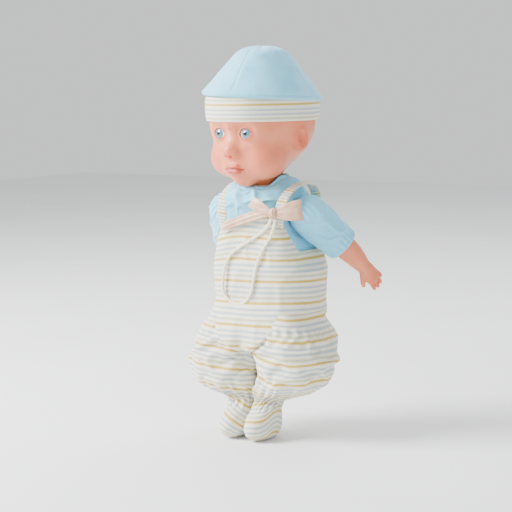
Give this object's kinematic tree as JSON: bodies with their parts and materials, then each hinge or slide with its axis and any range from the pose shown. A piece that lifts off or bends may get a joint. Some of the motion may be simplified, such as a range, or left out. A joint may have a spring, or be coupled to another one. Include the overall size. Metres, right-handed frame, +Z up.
{
  "type": "interactive baby doll",
  "caption": "Soft-bodied baby doll with vinyl head and limbs, knitted hat, T-shirt, striped dungarees with ribbon bow and cord loop, and a press-to-sound voice unit in its belly.",
  "frame": {"origin": "middle of the doll's back, on the dungarees' closure flap, where a backing card or a carrier holds it", "axes": "+Z up to the hat, -Y where the doll looks, +X to the doll's left hand"},
  "size_m": [0.1952, 0.1299, 0.3854],
  "materials": {
    "polyester_fill": "soft fibre",
    "body_cotton": "woven cotton",
    "blue_jersey": "single-jersey knit",
    "striped_jersey": "yarn-dyed striped knit",
    "hook_and_loop": "looped nylon",
    "satin_ribbon": "satin",
    "cotton_cord": "twisted cotton",
    "vinyl_skin": "satin vinyl",
    "eye_acrylic": "polished",
    "nylon_tie": "natural nylon",
    "case_abs": "moulded",
    "screw_steel": "zinc plated",
    "cell_steel": "nickel plated",
    "contact_brass": "stamped",
    "board_resin": "solder mask",
    "speaker_black": "moulded",
    "button_abs": "moulded",
    "switch_black": "moulded"
  },
  "bodies": {
    "torso": {"torso_stuffing": "polyester_fill", "torso_cloth": "body_cotton", "neck_casing": "body_cotton", "neck_tie": "nylon_tie", "shirt_body": "blue_jersey", "shirt_neckband": "blue_jersey", "romper_body": "striped_jersey", "strap_left": "striped_jersey", "strap_right": "striped_jersey", "closure_loop_tape": "hook_and_loop", "closure_hook_flap": "striped_jersey", "bow_loop_left": "satin_ribbon", "bow_loop_right": "satin_ribbon", "bow_tail": "satin_ribbon", "bow_knot": "satin_ribbon", "cord_loop": "cotton_cord", "voice_case_front": "case_abs", "voice_case_back": "case_abs", "case_screws": "screw_steel", "battery_door": "case_abs", "battery_door_screw": "screw_steel", "button_cells": "cell_steel", "battery_contacts": "contact_brass", "circuit_board": "board_resin", "speaker": "speaker_black", "press_spring": "screw_steel"},
    "head": {"head_shell": "vinyl_skin", "eye_left": "eye_acrylic", "eye_right": "eye_acrylic"},
    "hat": {"hat_crown": "blue_jersey", "hat_band": "striped_jersey"},
    "belly_press": {"press_button": "button_abs"},
    "power_switch": {"switch_slider": "switch_black"},
    "arm_left": {"upper_arm_left": "polyester_fill", "forearm_left": "vinyl_skin", "arm_tie_left": "nylon_tie", "sleeve_left": "blue_jersey"},
    "leg_left": {"thigh_left": "polyester_fill", "lower_leg_left": "vinyl_skin", "leg_tie_left": "nylon_tie", "romper_leg_left": "striped_jersey"},
    "arm_right": {"upper_arm_right": "polyester_fill", "forearm_right": "vinyl_skin", "arm_tie_right": "nylon_tie", "sleeve_right": "blue_jersey"},
    "leg_right": {"thigh_right": "polyester_fill", "lower_leg_right": "vinyl_skin", "leg_tie_right": "nylon_tie", "romper_leg_right": "striped_jersey"}
  },
  "joints": [
    {"name": "neck_swivel", "type": "hinge", "parent": "torso", "child": "head", "pos_m": [0, -0.0538, 0.07], "axis": [0, 0, 1], "range_deg": [-45, 45]},
    {"name": "hat_off", "type": "slide", "parent": "head", "child": "hat", "axis": [0, 0, 1], "range_m": [0, 0.09]},
    {"name": "shoulder_left", "type": "hinge", "parent": "torso", "child": "arm_left", "pos_m": [0.05, -0.0458, 0.05], "axis": [1, 0, 0], "range_deg": [-150, 10]},
    {"name": "shoulder_right", "type": "hinge", "parent": "torso", "child": "arm_right", "pos_m": [-0.05, -0.0458, 0.05], "axis": [1, 0, 0], "range_deg": [-150, 10]},
    {"name": "hip_left", "type": "hinge", "parent": "torso", "child": "leg_left", "pos_m": [0.037, -0.0498, -0.08], "axis": [1, 0, 0], "range_deg": [-50, 25]},
    {"name": "hip_right", "type": "hinge", "parent": "torso", "child": "leg_right", "pos_m": [-0.037, -0.0498, -0.08], "axis": [1, 0, 0], "range_deg": [-50, 25]},
    {"name": "belly_press", "type": "slide", "parent": "torso", "child": "belly_press", "axis": [0, 1, 0], "range_m": [0, 0.002], "stiffness_N_per_m": 600, "deforming": ["press_spring"]},
    {"name": "power_switch", "type": "slide", "parent": "torso", "child": "power_switch", "axis": [1, 0, 0], "range_m": [0, 0.004]}
  ]
}
